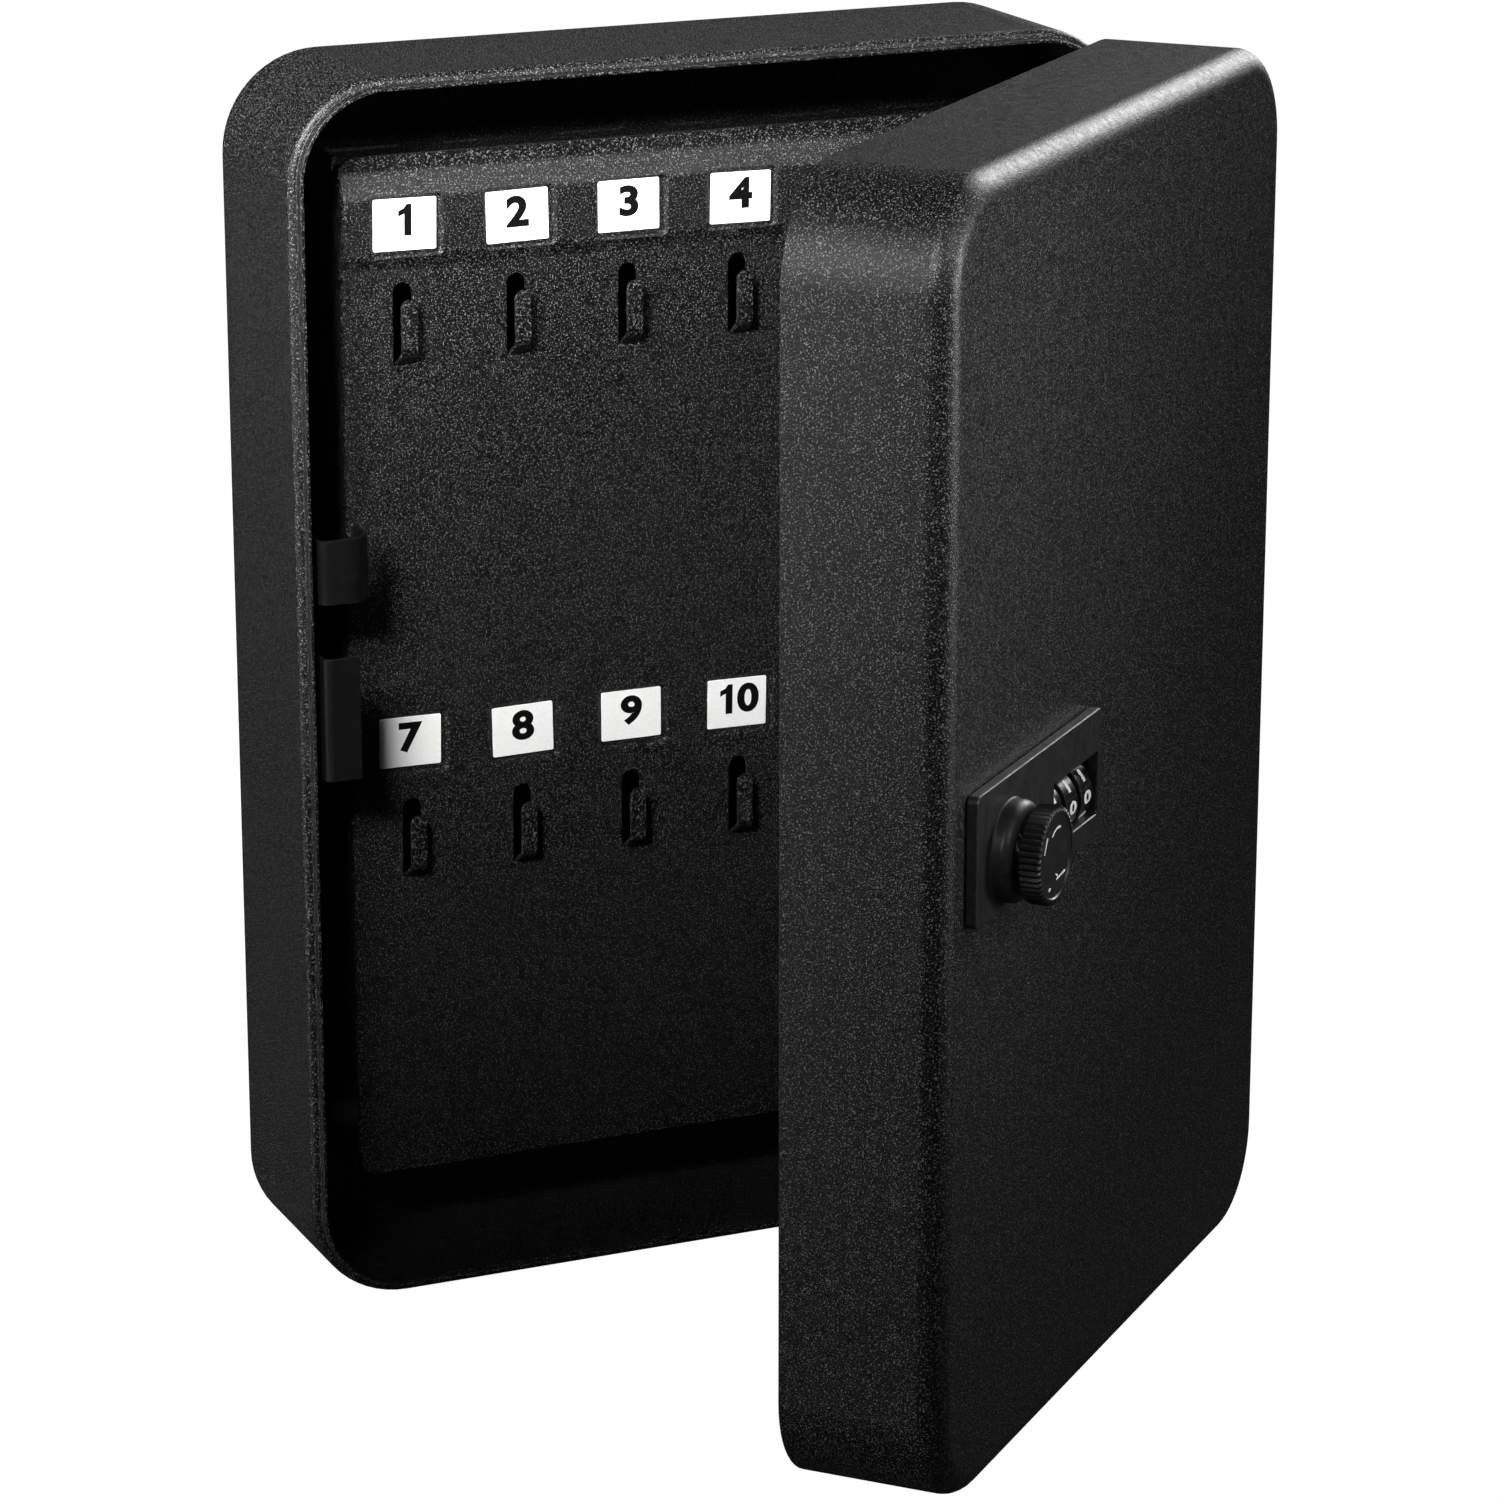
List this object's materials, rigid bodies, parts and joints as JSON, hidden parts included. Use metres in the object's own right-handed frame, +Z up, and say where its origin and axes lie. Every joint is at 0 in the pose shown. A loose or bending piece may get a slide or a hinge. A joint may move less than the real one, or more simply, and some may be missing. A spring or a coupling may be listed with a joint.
{
  "type": "key lock box",
  "caption": "Wall-mounted steel key cabinet with rounded corners, numbered key hooks inside and a hinged pan-shaped door held by a combination dial cam lock.",
  "frame": {"origin": "centre of the case's flat back face, on the wall", "axes": "+Z up, +Y into the wall, -Y out of the wall towards the user, +X towards the hinges"},
  "size_m": [0.1998, 0.1864, 0.25],
  "materials": {
    "powder_coat": "fine sand-textured matt black powder coat on pressed steel",
    "lock_plastic": "satin black moulded plastic",
    "label_paper": "matt white printed sticker",
    "zinc_steel": "dull zinc-plated steel"
  },
  "bodies": {
    "case": {"case_shell": "powder_coat", "hook_panel": "powder_coat", "number_label_01": "label_paper", "number_label_02": "label_paper", "number_label_03": "label_paper", "number_label_04": "label_paper", "number_label_05": "label_paper", "number_label_06": "label_paper", "number_label_07": "label_paper", "number_label_08": "label_paper", "number_label_09": "label_paper", "number_label_10": "label_paper", "number_label_11": "label_paper", "number_label_12": "label_paper", "latch_keeper": "powder_coat", "guide_strap": "powder_coat", "hinge_leaf_case_upper": "powder_coat", "hinge_leaf_case_lower": "powder_coat", "hinge_pin_upper": "zinc_steel", "hinge_pin_lower": "zinc_steel"},
    "door": {"door_shell": "powder_coat", "hinge_leaf_door_upper": "powder_coat", "hinge_leaf_door_lower": "powder_coat", "lock_faceplate": "lock_plastic", "lock_housing": "lock_plastic", "lock_back_cover": "lock_plastic", "dial_axle": "zinc_steel", "detent_spring": "zinc_steel", "lock_screw_1": "zinc_steel", "lock_screw_2": "zinc_steel"},
    "knob": {"knob": "lock_plastic", "spindle": "zinc_steel", "latch_cam": "zinc_steel", "cam_washer": "zinc_steel", "cam_nut": "zinc_steel"},
    "dial_1": {"dial_wheel_1": "lock_plastic"},
    "dial_2": {"dial_wheel_2": "lock_plastic"},
    "dial_3": {"dial_wheel_3": "lock_plastic"},
    "fence": {"fence_bar": "zinc_steel"},
    "reset": {"reset_slider": "lock_plastic"}
  },
  "joints": [
    {"name": "door_hinge", "type": "hinge", "parent": "case", "child": "door", "pos_m": [0.0934, -0.0418, 0], "axis": [0, 0, 1], "range_deg": [-42.3, 77.7]},
    {"name": "knob_turn", "type": "hinge", "parent": "door", "child": "knob", "pos_m": [-0.00108, -0.17333, -0.0002], "axis": [0.673, -0.7396, 0], "range_deg": [0, 90]},
    {"name": "dial_1_turn", "type": "hinge", "parent": "door", "child": "dial_1", "pos_m": [0.01393, -0.1494, -0.0023], "axis": [0.7396, 0.673, 0], "continuous": true},
    {"name": "dial_2_turn", "type": "hinge", "parent": "door", "child": "dial_2", "pos_m": [0.01962, -0.14422, -0.0023], "axis": [0.7396, 0.673, 0], "continuous": true},
    {"name": "dial_3_turn", "type": "hinge", "parent": "door", "child": "dial_3", "pos_m": [0.02532, -0.13904, -0.0023], "axis": [0.7396, 0.673, 0], "continuous": true},
    {"name": "fence_slide", "type": "slide", "parent": "door", "child": "fence", "axis": [0.7396, 0.673, 0], "range_m": [0, 0.0008]},
    {"name": "reset_slide", "type": "slide", "parent": "door", "child": "reset", "axis": [0.7396, 0.673, 0], "range_m": [0, 0.003]}
  ],
  "couplings": [
    {"joint": "fence_slide", "follows": "knob_turn", "m_per_rad": 0.000509}
  ]
}
